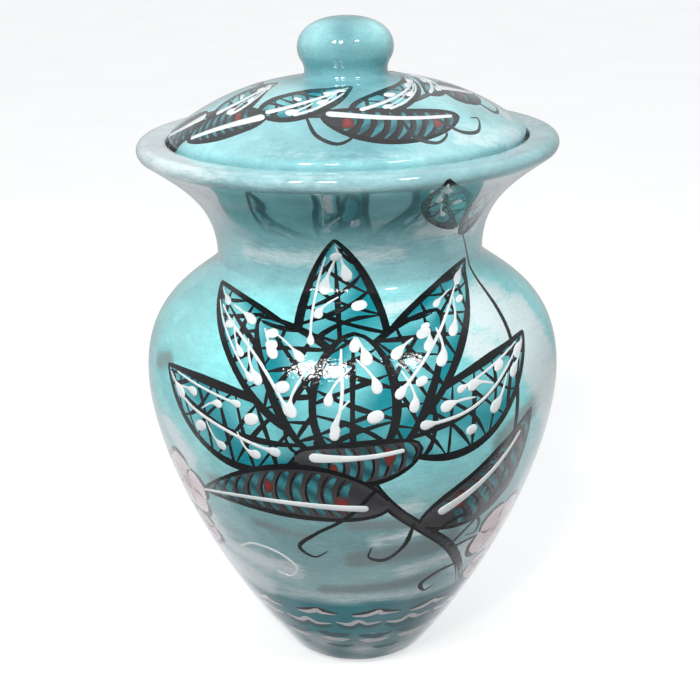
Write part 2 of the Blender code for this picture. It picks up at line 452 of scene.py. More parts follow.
class Skin:
    """The triangles of one piece, gathered sheet by sheet, with what each of their corners holds."""

    def __init__(self):
        self.points = []
        self.faces = []
        self.corners = {"normal": [], "colour": [], "wash": [], "relief": [], "uv": []}
        self.slots = []
        self.count = 0

    def add(self, points, faces, slot, **corners):
        a, b, c = points[faces.T]
        up = np.cross(b - a, c - a)
        way = corners["normal"].reshape(-1, 3, 3).mean(axis=1)
        flip = (up * way).sum(axis=1) < 0
        faces = faces.copy()
        faces[flip] = faces[flip][:, [0, 2, 1]]
        for name, values in corners.items():
            values = values.reshape(len(faces), 3, -1).copy()
            values[flip] = values[flip][:, [0, 2, 1]]
            self.corners[name].append(values.reshape(len(faces) * 3, -1))
        self.points.append(points)
        self.faces.append(faces + self.count)
        self.slots.append(np.broadcast_to(slot, len(faces)))
        self.count += len(points)

    def add_painting(self, painting, grid, borders, unwrap, slot_at):
        points, faces, shown = cut_along_marks(painting, grid, borders)
        flat = points[faces].reshape(-1, 2)
        colour, wash, relief = corner_colours(painting, flat, np.repeat(shown, 3))
        places, _ = painting.surface.place(*painting.unflatten(points))
        _, normal = painting.surface.place(*painting.unflatten(flat))
        held = dict(normal=normal, colour=colour, wash=wash, relief=relief, uv=unwrap(flat))
        self.add(places, faces, slot_at(points[faces].mean(axis=1)), **held)

    def add_turned(self, outline, outside, hard, colour, slots, uv_box):
        """A plain turned sheet, sharp at the corners named in hard, in its own box of the unwrapping."""
        angles = SEAM + np.linspace(0.0, 2 * math.pi, AROUND + 1)
        around = columns(np.cos(angles), np.sin(angles), np.ones(len(angles)))
        run = distances(outline)
        x0, y0, x1, y1 = uv_box
        nu = len(angles)
        breaks = [0] + list(hard) + [len(outline) - 1]
        for a, b, slot in zip(breaks[:-1], breaks[1:], slots):
            piece = outline[a : b + 1]
            way = normals_of(piece, outside)
            points = (piece[:, None, [0, 0, 1]] * around).reshape(-1, 3)
            normal = (way[:, None, [0, 0, 1]] * around).reshape(-1, 3)
            u, v = np.meshgrid(np.linspace(0.0, 1.0, nu), run[a : b + 1] / run[-1])
            uv = np.stack([x0 + (x1 - x0) * u, y0 + (y1 - y0) * v], 2).reshape(-1, 2)
            i, j = np.meshgrid(np.arange(nu - 1), np.arange(len(piece) - 1))
            c = (j * nu + i).ravel()
            halves = [columns(c, c + 1, c + 1 + nu), columns(c, c + 1 + nu, c + nu)]
            faces = np.concatenate(halves)
            n = len(faces) * 3
            held = dict(colour=np.broadcast_to(colour, (n, 3)), wash=np.zeros((n, 3)), relief=np.zeros(n))
            corner = faces.ravel()
            self.add(points, faces, slot, normal=normal[corner], uv=uv[corner], **held)

    def write(self, name, materials):
        """The piece as an object in metres, with its colours, relief, unwrapping and normals."""
        faces = np.concatenate(self.faces)
        held = {key: np.concatenate(values) for key, values in self.corners.items()}
        mesh = bpy.data.meshes.new(name)
        mesh.from_pydata((np.concatenate(self.points) * 0.001).tolist(), [], faces.tolist())
        for material in materials:
            mesh.materials.append(material)
        mesh.polygons.foreach_set("material_index", np.concatenate(self.slots).astype(np.int32))
        opaque = np.ones((len(faces) * 3, 1))
        for key, layer in (("colour", "paint"), ("wash", "wash")):
            colours = mesh.color_attributes.new(layer, "FLOAT_COLOR", "CORNER")
            colours.data.foreach_set("color", np.concatenate([held[key], opaque], axis=1).ravel())
        relief = mesh.attributes.new("relief", "FLOAT", "CORNER")
        relief.data.foreach_set("value", held["relief"].ravel())
        mesh.uv_layers.new(name="OFBake").data.foreach_set("uv", held["uv"].ravel())
        kept_way = mesh.attributes.new("way", "FLOAT_VECTOR", "CORNER")
        kept_way.data.foreach_set("vector", held["normal"].ravel())
        bm = bmesh.new()
        bm.from_mesh(mesh)
        bmesh.ops.remove_doubles(bm, verts=bm.verts, dist=2e-6)
        bmesh.ops.dissolve_degenerate(bm, dist=1e-7, edges=bm.edges)
        bm.to_mesh(mesh)
        bm.free()
        way = np.empty(len(mesh.loops) * 3)
        mesh.attributes["way"].data.foreach_get("vector", way)
        mesh.attributes.remove(mesh.attributes["way"])
        mesh.shade_smooth()
        mesh.normals_split_custom_set(way.reshape(-1, 3).tolist())
        return new_object(name, mesh)


# Colours of the paints, as they are without light or reflections.

TURQUOISE = srgb(146, 226, 227)
INK = srgb(16, 18, 20)
CHARCOAL = srgb(58, 56, 58)
SOOT = srgb(26, 25, 27)
TEAL = srgb(0, 138, 150)
LIGHT_TEAL = srgb(122, 206, 210)
DARK_TEAL = srgb(24, 84, 94)
RUST = srgb(140, 44, 36)
SLIP = srgb(238, 240, 240)
CLAY = srgb(206, 192, 174)
PALE_GLAZE = srgb(176, 208, 209)


def blend_of(first, second, share):
    return first + (second - first) * np.clip(share, 0.0, 1.0)[:, None]


def near_stroke(x, s, x0, s0, x1, s1, half, soft):
    """1 on a soft straight stroke from (x0, s0) to (x1, s1), falling to 0 beyond its half width."""
    dx, ds = x1 - x0, s1 - s0
    t = np.clip(((x - x0) * dx + (s - s0) * ds) / (dx * dx + ds * ds), 0.0, 1.0)
    away = np.hypot(x - x0 - t * dx, s - s0 - t * ds)
    return 1.0 - smooth(half - soft, half + soft, away)


# Soft strokes over the ground: from x, run to x, run, and half the width.
GREY_STROKES = [
    (-2, 120, 26, 118, 3.5), (0, 99, 42, 104, 5.5), (-14, 77, 34, 81, 4.0),
    (-66, 134, -50, 132, 3.0), (-44, 116, -20, 112, 2.5), (54, 116, 74, 124, 3.0),
    (-104, 176, -92, 180, 4.0), (66, 150, 92, 160, 6.0), (-70, 262, -40, 268, 4.0),
]
WHITE_STROKES = [
    (-80, 86, -44, 72, 8.0), (-74, 108, -60, 92, 5.0), (48, 84, 66, 100, 6.0),
    (-5, 128, 26, 127, 2.5), (34, 121, 58, 127, 2.5), (8, 110, 52, 116, 2.5),
    (20, 88, 60, 96, 3.5), (-60, 92, -28, 88, 6.0), (-30, 72, 30, 71, 2.0),
    (62, 208, 96, 182, 12.0), (86, 190, 112, 150, 15.0), (50, 196, 72, 176, 7.0),
    (48, 216, 74, 208, 6.0), (-20, 214, 34, 216, 3.0), (-46, 238, 20, 240, 3.0),
    (-96, 150, -80, 140, 6.0), (30, 250, 60, 246, 5.0),
]
# The lid's strokes also say which wash they are in, 0 grey or 1 white, and how strong they are.
LID_STROKES = [
    (62, 84, 96, 92, 7.0, 0, 0.45), (70, 70, 110, 80, 8.0, 1, 0.7),
    (-30, 96, 30, 100, 3.0, 1, 0.35), (-90, 80, -110, 96, 6.0, 1, 0.6),
    (-40, 86, 6, 90, 3.0, 0, 0.25), (48, 92, 88, 100, 6.0, 1, 0.6),
    (86, 60, 96, 88, 8.0, 1, 0.8),
]
STROKE_SOFTNESS = (3.2, 6.8)
LID_STROKE_SOFTNESS = 4.0


def beside(surface, centre, angle, run):
    """Millimetres to the right of the line down the surface at the angle centre."""
    turn = np.mod(angle - centre + math.pi, 2 * math.pi) - math.pi
    return turn * np.maximum(surface.radius(run), 1.0)


def jar_ground(angle, run):
    """Pale turquoise, lighter and greyer downwards, over a dark banded foot, with painted shade on the
    lower belly and low on the flare.
    """
    facing = np.abs(np.sin(angle))
    sweep = 1 - smooth(0.2, 1.2, np.abs(np.sin(angle * 1.5 + 0.6)))
    # Painted shade: the lower belly is darker towards the front and back.
    low_belly_shade = 0.8 * facing**3 * smooth(76, 96, run) * (1 - smooth(112, 150, run))
    colour = blend_of(srgb(160, 194, 197), TURQUOISE, smooth(90, 180, run))
    for tone, share in (
        (srgb(128, 166, 170), low_belly_shade),
        (srgb(150, 202, 206), smooth(212, 232, run)),
        # Darker low on the flare and lighter again above it: painted shade and reflection under the
        # overhanging rim.
        (srgb(86, 132, 137), smooth(246, 264, run)),
        (srgb(150, 193, 197), smooth(276, 287, run)),
        (srgb(206, 222, 223), 0.5 * smooth(290, 300, run) * sweep),
    ):
        colour = blend_of(colour, tone, share)
    ripple = 1.2 * np.sin(5 * angle) + 0.8 * np.sin(11 * angle + 1.0)
    band = blend_of(srgb(0, 98, 110), srgb(20, 138, 148), 0.5 + 0.5 * np.sin(3 * angle + 0.5))
    colour = blend_of(band, colour, smooth(66.2, 67.2, run + ripple * 0.4))
    mottle = 0.5 + 0.5 * np.sin(9 * angle + 0.12 * run) * np.sin(4 * angle - 0.21 * run)
    low = blend_of(srgb(70, 132, 138), srgb(178, 188, 187), mottle)
    colour = blend_of(low, colour, smooth(34, 39, run + ripple))
    wash = np.zeros((len(run), 3))
    for centre in (FRONT, BACK):
        x = beside(jar_surface, centre, angle, run)
        side = np.abs(x) < 1.57 * np.maximum(jar_surface.radius(run), 1.0)
        for channel, strokes in enumerate((GREY_STROKES, WHITE_STROKES)):
            for stroke in strokes:
                seen = near_stroke(x, run, *stroke, STROKE_SOFTNESS[channel]) * side
                wash[:, channel] = np.maximum(wash[:, channel], seen)
    lip = 0.66 - 0.42 * np.cos(angle) + 0.46 * np.sin(angle) + 0.12 * np.sin(7 * angle)
    for white in (0.5 * mottle * (1 - smooth(30, 36, run)), smooth(276, 288, run) * lip):
        wash[:, 1] = np.maximum(wash[:, 1], white)
    return colour, wash


def lid_ground(angle, run):
    """Pale turquoise, with painted shade towards the front and back and under the knob's ball, and darker
    on the knob's top.
    """
    # Painted shade: darker towards the front and back than at the sides.
    aside = smooth(0.0, 0.9, np.abs(np.cos(angle)))
    colour = blend_of(srgb(112, 165, 172), srgb(170, 226, 229), aside)
    colour = blend_of(srgb(112, 178, 184), colour, smooth(4, 16, run))
    # Painted shade under the knob's ball and round its neck.
    colour = blend_of(colour, srgb(106, 168, 175), smooth(18, 34, run) * (1 - smooth(42, 54, run)))
    colour = blend_of(colour, srgb(152, 210, 214), smooth(98, 102, run))
    wash = np.zeros((len(run), 3))
    x = beside(lid_surface, FRONT, angle, run)
    for *stroke, channel, share in LID_STROKES:
        seen = share * near_stroke(x, run, *stroke, LID_STROKE_SOFTNESS)
        wash[:, channel] = np.maximum(wash[:, channel], seen)
    return colour, wash


# Surfaces of the two pieces.

jar_side = jar_outside()
jar_surface = Turned(np.concatenate([jar_side, jar_rim(jar_side[-1])]), 1)
lid_surface = Turned(lid_outside(), -1)
GLAZE_LINE = 4.5

jar_painting = Painting(jar_surface, False, jar_ground)
lid_painting = Painting(lid_surface, True, lid_ground)
front = Region(jar_painting, FRONT)
back = Region(jar_painting, BACK)


# Motifs.


class Blade:
    """A leaf or petal between its base and its tip. t runs along it, and w from -1 to 1 across it."""

    def __init__(self, region, base, tip, width, bend=0.0, fullness=0.42, blunt=0.65):
        self.region = region
        self.base = np.array(base, dtype=float)
        chord = np.array(tip, dtype=float) - self.base
        self.length = float(np.linalg.norm(chord))
        self.along = chord / self.length
        self.side = np.array([-self.along[1], self.along[0]])
        self.bend = bend
        self.blunt = blunt
        self.sharp = blunt * (1 - fullness) / fullness
        peak = fullness**self.blunt * (1 - fullness) ** self.sharp
        self.scale = 0.5 * width / peak

    def half(self, t):
        t = np.clip(t, 0.0, 1.0)
        return self.scale * t**self.blunt * (1 - t) ** self.sharp

    def at(self, t, w):
        t = np.atleast_1d(np.asarray(t, dtype=float))
        off = 4 * self.bend * t * (1 - t) + w * self.half(t)
        return self.base + self.along * (self.length * t)[:, None] + self.side * off[:, None]

    def spot(self, t, w):
        return self.at(t, 0.0)[0] + self.side * w * float(self.half(t))

    def locate(self, design):
        away = design - self.base
        t = away @ self.along / self.length
        off = away @ self.side - 4 * self.bend * t * (1 - t)
        return t, off / np.maximum(self.half(t), 0.4)

    def fill(self, colour, relief=0.75):
        ease = 0.5 - 0.5 * np.cos(math.pi * np.linspace(0.0, 1.0, max(14, int(self.length / 1.6))))
        outline = np.concatenate([self.at(ease, 1.0), self.at(ease[::-1][1:-1], -1.0)])
        self.region.mark(outline, lambda d: colour(*self.locate(d)), relief)

    def edges(self, width, colour):
        for w in (1.0, -1.0):
            path = self.at(np.linspace(0.01, 1.0, max(12, int(self.length / 1.5))), w)
            self.region.mark(brush(path, width, 0.6, 0.5), colour, 0.9)

    def vein(self, t0, w0, t1, w1, width, colour, bow=0.0):
        q = np.linspace(0.0, 1.0, max(5, int(self.length * abs(t1 - t0) / 1.8) + 4))
        t = t0 + (t1 - t0) * q + bow * np.sin(math.pi * q)
        path = self.at(t, w0 + (w1 - w0) * q)
        keep = (t > 0.02) & (t < 0.975)
        if keep.sum() > 3:
            self.region.mark(brush(path[keep], width, 0.55, 0.35, 0.2), colour, 0.9)

    def net(self, gap, slant, width, colour):
        """Two families of veins that cross."""
        for k in range(int(self.length * (1 + slant) / gap)):
            t = (k + 0.4 + 0.15 * rng.uniform(-1, 1)) * gap / self.length - 0.5 * slant
            for w in (-0.95, 0.95):
                if w > 0:
                    t += 0.5 * gap / self.length * rng.uniform(0.7, 1.3)
                thick = width * rng.uniform(0.7, 1.2)
                self.vein(t, w, t + slant, -w, thick, colour, rng.uniform(-0.02, 0.06))

    def comma(self, t, w, reach, head, tail, turn=0.0):
        reach = min(reach, 0.96 - t)
        q = np.linspace(0.0, 1.0, 5)
        shift = (w + turn * q**2) * self.half(t + reach * q)
        self.region.drop(self.at(t + reach * q, 0.0) + self.side * shift[:, None], head, tail)


def petal(region, base, tip, width, bend, gap, slant, rib=True, seed=0.0, blunt=0.65):
    """A teal petal with black edges, a net of veins and, if wanted, a rib."""

    def colour(t, w):
        share = 0.60 + 0.45 * np.sin(8 * t + seed + 2.6 * w) - 0.50 * np.abs(w) ** 2
        return blend_of(blend_of(TEAL, LIGHT_TEAL, share), DARK_TEAL, 0.75 * (1 - smooth(0.0, 0.28, t)))

    blade = Blade(region, base, tip, width, bend, blunt=blunt)
    blade.fill(colour)
    blade.net(gap, slant, 1.9, INK)
    blade.edges(3.5, INK)
    if rib:
        path = blade.at(np.linspace(0.0, 0.9, max(10, int(blade.length / 2))), 0.05)
        region.mark(brush(path, 2.4, 0.8, 0.3, 0.2), INK, 0.9)
    return blade


def dots_along(blade, places, size=2.1):
    """Slip drops at each t, w on the blade. One in three is round, and the rest have a tail."""
    for k, (t, w) in enumerate(places):
        grow = size * rng.uniform(0.72, 1.15)
        if k % 3 == 1:
            blade.region.dot(*blade.spot(t, w), grow)
        else:
            reach = rng.uniform(8.0, 15.0) / blade.length
            blade.comma(t, w, reach, grow, 0.24 * grow, -w * rng.uniform(0.3, 1.0))


def band_teal(design):
    share = 0.5 + 0.5 * np.sin(0.5 * design[:, 0] + 0.7 * design[:, 1])
    return blend_of(srgb(28, 78, 86), srgb(64, 142, 150), share)


def rust_spot(region, x, s, size, ground):
    """A spot whose edge fades into what lies under it."""
    angle = np.linspace(0.0, 2 * math.pi, 22, endpoint=False)
    uneven = 1.0 + 0.10 * np.sin(3 * angle + x)
    across, along = 0.55 * size, 0.9 * size
    for grow, share in ((1.15, 0.25), (0.95, 0.5), (0.72, 0.75), (0.48, 1.0)):
        ring_x = x + grow * across * uneven * np.cos(angle)
        ring_s = s + grow * along * uneven * np.sin(angle)
        region.mark(columns(ring_x, ring_s), ground + share * (RUST - ground), 0.7)


def banded_blade(region, base, tip, width, bend, bands, rust, blunt, fullness=0.45, dark=CHARCOAL):
    """A charcoal leaf or pod with dark teal bands across it, black edges and spots of rust."""
    blade = Blade(region, base, tip, width, bend, fullness, blunt)
    blade.fill(lambda t, w: blend_of(dark, 2.2 * dark, 0.7 * np.sin(3 * t + 1.4 * w) ** 2), 0.7)
    w = np.linspace(-0.78, 0.80, 12)
    bow = 0.07 * (1 - w**2)
    for k in range(bands):
        t = 0.10 + 0.80 * (k + 0.5) / bands
        thick = 0.40 * blade.length / bands * rng.uniform(0.8, 1.15)
        region.mark(brush(blade.at(t + bow, w), thick, 0.5, 0.4, 0.15), band_teal, 0.7)
        path = blade.at(t + 0.30 / bands + bow, w * 1.05)
        region.mark(brush(path, 1.0, 0.4, 0.3, 0.2), INK, 0.9)
    for t, w, size in rust:
        rust_spot(region, *blade.spot(t, w), size, dark)
    blade.edges(2.4, INK)
    return blade


LOBES = 5


def blossom(region, x, s, size, lean):
    """A small scalloped blossom, white tinged with pink, with a dark outline and heart."""
    region = Region(region.painting, float(region.angle(np.array([[x, s]], dtype=float))[0]))

    def ring(angle, reach):
        return columns(reach * np.cos(angle), s + reach * np.sin(angle))

    def scallops(angle):
        lobe = np.abs(np.sin(0.5 * LOBES * (angle - lean))) ** 0.6
        return ring(angle, size * (0.74 + 0.26 * lobe))

    def shade(d):
        away = np.hypot(d[:, 0], d[:, 1] - s) / size
        return blend_of(srgb(214, 164, 167), srgb(248, 226, 227), smooth(0.15, 0.80, away))

    angle = np.linspace(0.0, 2 * math.pi, 18 * LOBES, endpoint=False) + lean
    region.mark(scallops(angle), shade, 0.5)
    for k in range(LOBES):
        first = lean + 2 * math.pi * k / LOBES
        lobe = np.linspace(first + 0.08, first + 2 * math.pi / LOBES - 0.05, 14)
        region.mark(brush(scallops(lobe), 2.7, 0.3, 0.4), INK, 0.7)
        places = ((0.28, first), (0.5, first + 0.1), (0.72, first))
        spoke = [(r * size * math.cos(a), s + r * size * math.sin(a)) for r, a in places]
        region.line(spoke, 1.3, INK, 0.5, 0.3, 0.7)
    region.mark(ring(angle, 0.2 * size)[::3], RUST, 0.6)


def tendril(region, points, width=1.7, colour=INK):
    region.line(points, width, colour, 0.7, 0.25)


# The flower on the front of the jar.

STEM = [(2, 156), (6, 142), (15, 128), (28, 114), (40, 100), (47, 84), (50, 67)]

# Back row of petals.
left_low = petal(front, (-14, 160), (-92, 178), 32, 7, 10.5, 0.18, seed=0.4)
right_low = petal(front, (14, 160), (84, 190), 31, -7, 10.5, 0.18, seed=1.4)
left_high = petal(front, (-12, 164), (-66, 220), 32, -4, 10.5, 0.18, seed=2.2)
right_high = petal(front, (12, 164), (56, 230), 32, 4, 10.5, 0.18, seed=3.0)
middle_back = petal(front, (-2, 164), (-6, 248), 36, 0, 10.5, 0.18, seed=0.9)
# Front row.
left_mid = petal(front, (-8, 156), (-38, 210), 32, -5, 10.0, 0.2, seed=4.1, blunt=0.5)
right_mid = petal(front, (8, 156), (36, 212), 32, 5, 10.0, 0.2, seed=5.0, blunt=0.5)
middle_front = petal(front, (0, 153), (1, 205), 33, 0, 10.0, 0.22, seed=2.9, blunt=0.45)

tendril(front, STEM, 5.0, CHARCOAL)
tendril(front, [(x + 1.8, s + 0.9) for x, s in STEM], 1.4)
tendril(front, [(x - 1.8, s - 1.2) for x, s in STEM], 1.4)

# The cup under the flower, and the leaves low on the stem.
rust = [(0.74, 0.2, 4.0), (0.30, -0.3, 3.0)]
cup = banded_blade(front, (-24, 153), (27, 156), 19, -4, 7, rust, 0.5, 0.5)
rust = [(0.22, 0.3, 4.5), (0.56, -0.2, 3.5)]
leaf_left = banded_blade(front, (14, 130), (-74, 124), 26, -9, 11, rust, 0.6, 0.36)
rust = [(0.28, 0.4, 5.0), (0.8, 0.0, 3.0)]
leaf_right = banded_blade(front, (27, 116), (86, 158), 26, -9, 8, rust, 0.6, 0.42)

# A bud on a thin stem beside the flower, up the neck.
tendril(front, [(41, 99), (64, 122), (74, 152), (74, 190), (62, 222), (54, 240), (48, 250)], 2.2)
bud = petal(front, (48, 248), (38, 287), 21, 3, 9.0, 0.22, seed=1.0)
bud_leaf = petal(front, (51, 243), (66, 276), 12, -3, 9.0, 0.25, False, 3.0)

for path in (
    [(32, 110), (46, 116), (56, 110), (55, 102), (49, 102)],
    [(42, 97), (56, 98), (64, 91), (61, 84), (56, 87)],
    [(8, 138), (-4, 124), (-16, 115), (-24, 106), (-18, 100), (-12, 104)],
    [(24, 118), (20, 106), (12, 98), (5, 100), (6, 106)],
    [(47, 84), (36, 82), (28, 76), (30, 70), (35, 73)],
):
    tendril(front, path, 2.0)

# Slip on the flower: the size of the drops on each petal, and where they are along and across it.
for blade, size, places in (
    (left_low, 2.3, [(0.30, 0.5), (0.36, -0.45), (0.50, 0.62), (0.56, -0.5), (0.66, 0.55),
                     (0.74, -0.4), (0.84, 0.2)]),
    (right_low, 2.3, [(0.34, 0.5), (0.42, -0.5), (0.52, 0.6), (0.60, -0.45), (0.72, 0.5),
                      (0.80, -0.3), (0.88, 0.1)]),
    (left_high, 2.3, [(0.42, 0.6), (0.50, -0.3), (0.58, 0.6), (0.68, -0.4), (0.74, 0.5), (0.86, 0.0)]),
    (right_high, 2.3, [(0.44, -0.6), (0.52, 0.2), (0.60, -0.6), (0.70, 0.4), (0.78, -0.5), (0.88, 0.0)]),
    (middle_back, 2.3, [(0.60, 0.55), (0.64, -0.5), (0.74, 0.45), (0.80, -0.35), (0.90, 0.0)]),
    (left_mid, 2.2, [(0.36, 0.7), (0.52, 0.65), (0.64, -0.2), (0.74, 0.5), (0.86, 0.1)]),
    (right_mid, 2.2, [(0.36, -0.7), (0.52, -0.65), (0.62, 0.3), (0.74, -0.5), (0.86, 0.0)]),
    (middle_front, 2.4, [(0.24, 0.5), (0.34, -0.5), (0.46, 0.62), (0.56, -0.55), (0.68, 0.5),
                         (0.78, -0.4), (0.88, 0.0)]),
    (bud, 1.8, [(0.30, 0.4), (0.46, -0.4), (0.62, 0.4), (0.78, -0.1)]),
    (bud_leaf, 1.5, [(0.35, 0.2), (0.6, -0.2)]),
):
    dots_along(blade, places, size)
ribs = ((left_low, 0.1), (right_low, 0.05), (left_high, 0.25), (right_high, -0.2), (middle_front, 0.3))
for blade, w in ribs:
    bow = 0.25 * np.linspace(-1.0, 1.0, 8) ** 2
    front.drop(blade.at(np.linspace(0.20, 0.86, 8), w + bow), 2.1, 0.75)
for blade, w in ((left_low, -0.72), (right_low, 0.7), (middle_back, 0.7), (left_high, 0.75)):
    front.drop(blade.at(np.linspace(0.45, 0.90, 6), w), 1.6, 0.55)
front.trail(leaf_left.at(np.linspace(0.12, 0.97, 9), 0.45), 1.7, 0.7, 1.1)
front.trail(leaf_right.at(np.linspace(0.16, 0.84, 8), 0.42), 2.4, 0.8, 1.3)
front.trail(cup.at(np.linspace(0.16, 0.84, 7), 0.35), 2.2, 1.0, 1.2)
front.trail([(-54, 96), (-46, 101), (-34, 99), (-26, 91), (-29, 84), (-35, 85)], 0.75, 0.75)

# Blossoms towards the sides.
for x, s, size, lean in ((71, 96, 18, 0.4), (62, 72, 10, 0.1), (-87, 122, 17, 0.9), (-78, 97, 10, 0.3)):
    blossom(front, x, s, size, lean)

# A plainer spray on the back.
tendril(back, [(-30, 96), (-16, 120), (0, 148), (6, 176), (2, 204)], 3.4, CHARCOAL)
tendril(back, [(-29, 95), (-14.5, 119), (1.5, 147), (7.5, 176), (3.5, 204)], 1.2)
back_blades = [
    petal(back, base, tip, width, bend, 9, 0.22, seed=seed)
    for base, tip, width, bend, seed in (
        ((-12, 126), (-58, 146), 22, 5, 0.3),
        ((-8, 134), (44, 128), 22, 5, 1.3),
        ((2, 152), (-44, 188), 22, 5, 2.3),
        ((4, 160), (52, 178), 22, -5, 3.3),
        ((3, 196), (4, 232), 18, 0, 4.3),
    )
]
for blade in back_blades:
    dots_along(blade, [(0.32, 0.45), (0.48, -0.45), (0.62, 0.45), (0.78, -0.3)])
    back.trail(blade.at(np.linspace(0.2, 0.75, 6), 0.1), 1.1, 0.5)
tendril(back, [(-20, 112), (-34, 112), (-42, 104), (-38, 98), (-33, 101)])
tendril(back, [(-14, 120), (0, 112), (10, 112), (14, 105), (9, 102)])
blossom(back, 84, 112, 11, 0.2)
blossom(back, -88, 118, 11, 0.7)


# The banded foot, all round: rows of strokes, from the top row down.


def places_round(count):
    """Regions evenly round the jar, the seam of the unrolled plane between two of them."""
    for k in range(count):
        yield k, Region(jar_painting, SEAM + (k + 0.5) * 2 * math.pi / count)


for k, region in places_round(14):
    s = 57.5 + 0.9 * math.sin(2.3 * k)
    wide = 10.5 + 0.9 * math.sin(1.7 * k)
    wave = [(-wide, s), (-0.5 * wide, s + 0.3), (0.0, s + 1.8), (0.5 * wide, s + 0.6), (wide, s)]
    region.line(wave, 3.8, INK, 0.2, 0.2)
    crest = [(-0.95 * wide, s - 1.6), (-0.4 * wide, s - 1.3), (0.1 * wide, s + 1.4)]
    crest += [(0.2 * wide, s - 0.4), (0.9 * wide, s - 1.2)]
    region.line(crest, 2.5, srgb(228, 222, 222), 0.3, 0.2)
for k, region in places_round(15):
    s = 48.0 + 0.8 * math.sin(1.9 * k)
    wide = 10.4 + 0.6 * math.sin(2.9 * k)
    low = [(-wide, s - 1.0), (-0.4 * wide, s - 2.6), (0, s + 0.4), (0.4 * wide, s - 2.4), (wide, s - 1.4)]
    region.line(low, 5.0, srgb(28, 96, 106), 0.3, 0.3)
    region.line([(x, y + 2.3) for x, y in low], 2.6, srgb(226, 218, 218), 0.3, 0.3)
for k, region in places_round(17):
    s = 38.5 + 0.7 * math.sin(2.1 * k)
    region.line([(-7.4, s), (0, s - 1.6), (7.4, s + 0.3)], 4.4, srgb(26, 92, 102), 0.3, 0.3)
    region.line([(-6.4, s - 5.0), (0, s - 6.2), (6.4, s - 5.2)], 3.4, srgb(214, 208, 208), 0.3, 0.3)
for k, region in places_round(13):
    s = 26.0 + 1.2 * math.sin(2.7 * k)
    region.line([(-6.4, s), (0, s - 1.0), (6.4, s + 0.5)], 3.0, srgb(40, 104, 112), 0.3, 0.3)


# The garland round the front of the lid.

lid_front = Region(lid_painting, FRONT)
garland = [(-100, 96), (-78, 84), (-54, 76), (-28, 74), (0, 72), (26, 66), (50, 61), (70, 66)]
tendril(lid_front, garland, 3.6, CHARCOAL)
tendril(lid_front, [(x, s + 1.5) for x, s in garland], 1.3)
lid_blades = [
    petal(lid_front, base, tip, width, bend, gap, 0.2, False, seed)
    for base, tip, width, bend, gap, seed in (
        ((-70, 82), (-40, 50), 17, 3, 8.5, 0.2),
        ((-38, 75), (2, 46), 19, 3, 8.5, 1.2),
        ((2, 71), (38, 44), 18, 3, 8.5, 2.2),
        ((38, 63), (62, 44), 15, 2, 8.0, 3.2),
    )
]
lid_pods = [
    banded_blade(lid_front, base, tip, width, bend, bands, rust, blunt, dark=SOOT)
    for base, tip, width, bend, bands, rust, blunt in (
        ((-76, 84), (-112, 103), 15, -3, 6, [(0.3, 0.2, 3.5)], 0.55),
        ((-34, 75), (-80, 97), 16, 2, 8, [(0.3, 0.2, 3.5)], 0.55),
        ((-10, 73), (50, 82), 20, 4, 9, [(0.18, 0.2, 4.0), (0.8, 0.0, 3.5)], 0.5),
        ((50, 61), (86, 76), 14, 2, 6, [(0.4, 0.2, 3.5)], 0.55),
    )
]
for blade in lid_blades:
    dots_along(blade, [(0.28, 0.45), (0.46, -0.45), (0.60, 0.45), (0.74, -0.3), (0.88, 0.0)], 2.0)
    lid_front.trail(blade.at(np.linspace(0.10, 0.90, 7), 0.0), 1.4, 0.8)
    lid_front.trail(blade.at(np.linspace(0.30, 0.85, 6), 0.7), 1.0, 0.6)
for blade, w in zip(lid_pods, (0.3, -0.3, -0.45, -0.3)):
    lid_front.trail(blade.at(np.linspace(0.06, 0.92, 8), w), 2.1, 1.0, 1.3)
for path in (
    [(22, 80), (27, 90), (36, 94), (41, 90), (36, 87)],
    [(38, 81), (48, 90), (58, 92), (62, 86), (57, 84)],
    [(66, 70), (80, 86), (92, 86), (93, 79), (88, 79)],
    [(-16, 75), (-12, 86), (-4, 91), (2, 87), (-2, 83)],
):
    tendril(lid_front, path, 1.8)
lid_back = Region(lid_painting, BACK)
tendril(lid_back, [(-52, 66), (-30, 74), (0, 76), (30, 74), (52, 66)], 2.6, CHARCOAL)
for base, tip, bend in (
    ((-34, 72), (-56, 92), 2),
    ((-10, 76), (-6, 54), 2),
    ((14, 76), (36, 92), -2),
    ((36, 72), (58, 56), 2),
):
    blade = petal(lid_back, base, tip, 11, bend, 7.5, 0.22, False)
    dots_along(blade, [(0.35, 0.3), (0.6, -0.3)], 1.6)


# Materials.


